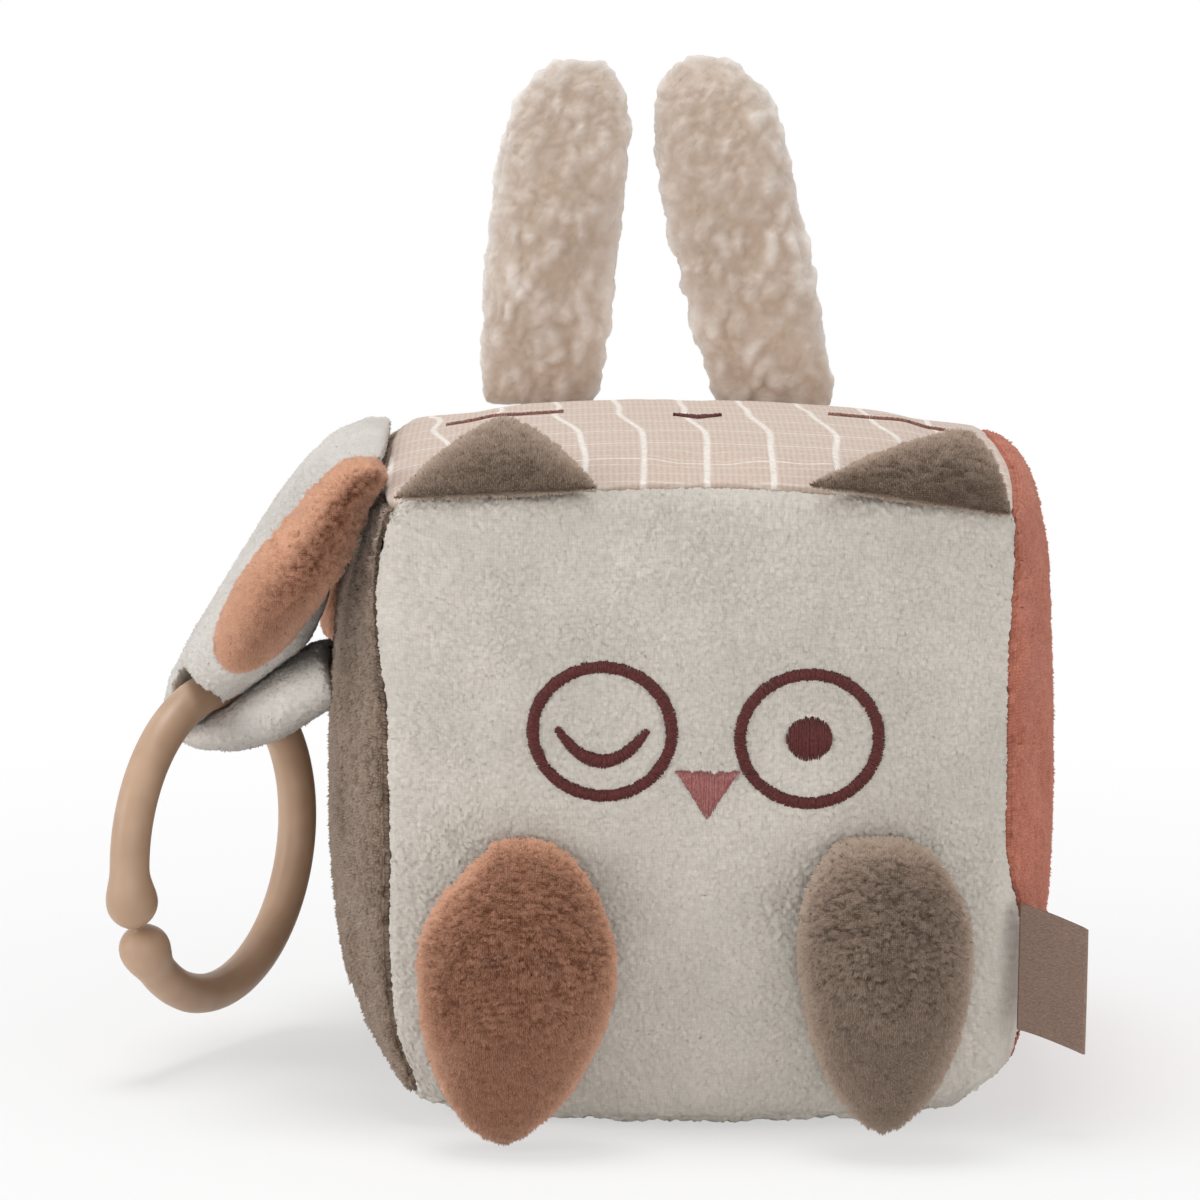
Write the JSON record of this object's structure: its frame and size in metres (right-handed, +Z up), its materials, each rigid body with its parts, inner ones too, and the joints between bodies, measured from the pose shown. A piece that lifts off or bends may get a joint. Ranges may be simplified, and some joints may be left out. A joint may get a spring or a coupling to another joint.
{
  "type": "soft fabric block",
  "caption": "Soft stuffed baby activity cube with animal faces, lifting wings, bendable ears, a padded side flap and a split ring that hangs from it.",
  "frame": {"origin": "centre of the flat on the bottom panel that the block rests on", "axes": "+Z up towards the rabbit's ears, -Y out of the owl's face, -X towards the side flap and its ring"},
  "size_m": [0.2185, 0.1765, 0.2286],
  "materials": {
    "plush_cream": "short off-white plush",
    "plush_taupe": "short taupe plush",
    "plush_terracotta": "short terracotta plush",
    "plush_coral": "short coral plush",
    "cotton_blush": "ribbed blush cotton with a fine off-white grid",
    "sherpa_cream": "curly cream sherpa",
    "thread_burgundy": "satin stitch in burgundy thread",
    "thread_pink": "satin stitch in dusty pink thread",
    "tape_brown": "woven brown tape, left bare",
    "wadding": "loose polyester fibre",
    "foam": "soft open-cell foam",
    "ring_plastic": "smooth matte caramel plastic",
    "rattle_plastic": "plain white plastic",
    "bead_plastic": "plain plastic beads"
  },
  "bodies": {
    "block": {"front_panel": "plush_cream", "back_panel": "plush_cream", "left_panel": "plush_taupe", "right_panel": "plush_coral", "top_panel": "cotton_blush", "bottom_panel": "plush_cream", "foam_core": "foam", "foam_plug": "foam", "rattle_cup": "rattle_plastic", "rattle_lid": "rattle_plastic", "rattle_bead_1": "bead_plastic", "rattle_bead_2": "bead_plastic", "rattle_bead_3": "bead_plastic", "owl_eye_ring_left": "thread_burgundy", "owl_eye_ring_right": "thread_burgundy", "owl_wink": "thread_burgundy", "owl_pupil": "thread_burgundy", "owl_beak": "thread_pink", "rabbit_eye_left": "thread_burgundy", "rabbit_eye_right": "thread_burgundy", "rabbit_nose": "thread_burgundy"},
    "wing_left": {"wing_left_cover": "plush_terracotta", "wing_left_filling": "wadding"},
    "wing_right": {"wing_right_cover": "plush_taupe", "wing_right_filling": "wadding"},
    "owl_ear_left": {"owl_ear_left": "plush_taupe"},
    "owl_ear_right": {"owl_ear_right": "plush_taupe"},
    "rabbit_ear_left": {"rabbit_ear_left_cover": "sherpa_cream", "rabbit_ear_left_filling": "wadding"},
    "rabbit_ear_right": {"rabbit_ear_right_cover": "sherpa_cream", "rabbit_ear_right_filling": "wadding"},
    "side_ear_front": {"side_ear_front_cover": "plush_terracotta", "side_ear_front_filling": "wadding"},
    "side_ear_rear": {"side_ear_rear_cover": "plush_terracotta", "side_ear_rear_filling": "wadding"},
    "side_flap": {"side_flap_cover": "plush_cream", "side_flap_lining": "plush_cream"},
    "ring": {"teething_ring": "ring_plastic"},
    "label": {"label_tag": "tape_brown"}
  },
  "joints": [
    {"name": "wing_left_lift", "type": "hinge", "parent": "block", "child": "wing_left", "pos_m": [-0.0388, -0.0794, 0.0665], "axis": [-1, 0, 0], "range_deg": [0, 75]},
    {"name": "wing_right_lift", "type": "hinge", "parent": "block", "child": "wing_right", "pos_m": [0.0387, -0.0795, 0.068], "axis": [-1, 0, 0], "range_deg": [0, 75]},
    {"name": "owl_ear_left_fold", "type": "hinge", "parent": "block", "child": "owl_ear_left", "pos_m": [-0.0452, -0.06955, 0.1431], "axis": [0.9956, -0.0662, 0.0662], "range_deg": [-5, 105], "stiffness_Nm_per_rad": 0.0005},
    {"name": "owl_ear_right_fold", "type": "hinge", "parent": "block", "child": "owl_ear_right", "pos_m": [0.045, -0.06956, 0.14311], "axis": [0.9956, 0.0659, -0.0659], "range_deg": [-5, 105], "stiffness_Nm_per_rad": 0.0005},
    {"name": "rabbit_ear_left_bend", "type": "hinge", "parent": "block", "child": "rabbit_ear_left", "pos_m": [-0.0366, 0.07067, 0.14377], "axis": [1, 0, 0], "range_deg": [-90, 20], "stiffness_Nm_per_rad": 0.01},
    {"name": "rabbit_ear_right_bend", "type": "hinge", "parent": "block", "child": "rabbit_ear_right", "pos_m": [0.0206, 0.07134, 0.14444], "axis": [1, 0, 0], "range_deg": [-90, 20], "stiffness_Nm_per_rad": 0.01},
    {"name": "side_ear_front_lift", "type": "hinge", "parent": "block", "child": "side_ear_front", "pos_m": [-0.07051, -0.048, 0.14331], "axis": [0, 1, 0], "range_deg": [-8, 80], "stiffness_Nm_per_rad": 0.01},
    {"name": "side_ear_rear_lift", "type": "hinge", "parent": "block", "child": "side_ear_rear", "pos_m": [-0.07331, 0.048, 0.13991], "axis": [0, 1, 0], "range_deg": [0, 100]},
    {"name": "side_flap_lift", "type": "hinge", "parent": "block", "child": "side_flap", "pos_m": [-0.0709, 0, 0.1457], "axis": [0, 1, 0], "range_deg": [0, 75]},
    {"name": "ring_swing", "type": "hinge", "parent": "side_flap", "child": "ring", "pos_m": [-0.1098, -0.003, 0.0861], "axis": [0.4924, 0.8704, 0], "range_deg": [-5, 20]},
    {"name": "label_fold", "type": "hinge", "parent": "block", "child": "label", "pos_m": [0.07085, -0.07053, 0.038], "axis": [0, 0, -1], "range_deg": [-40, 90], "stiffness_Nm_per_rad": 0.0002}
  ]
}
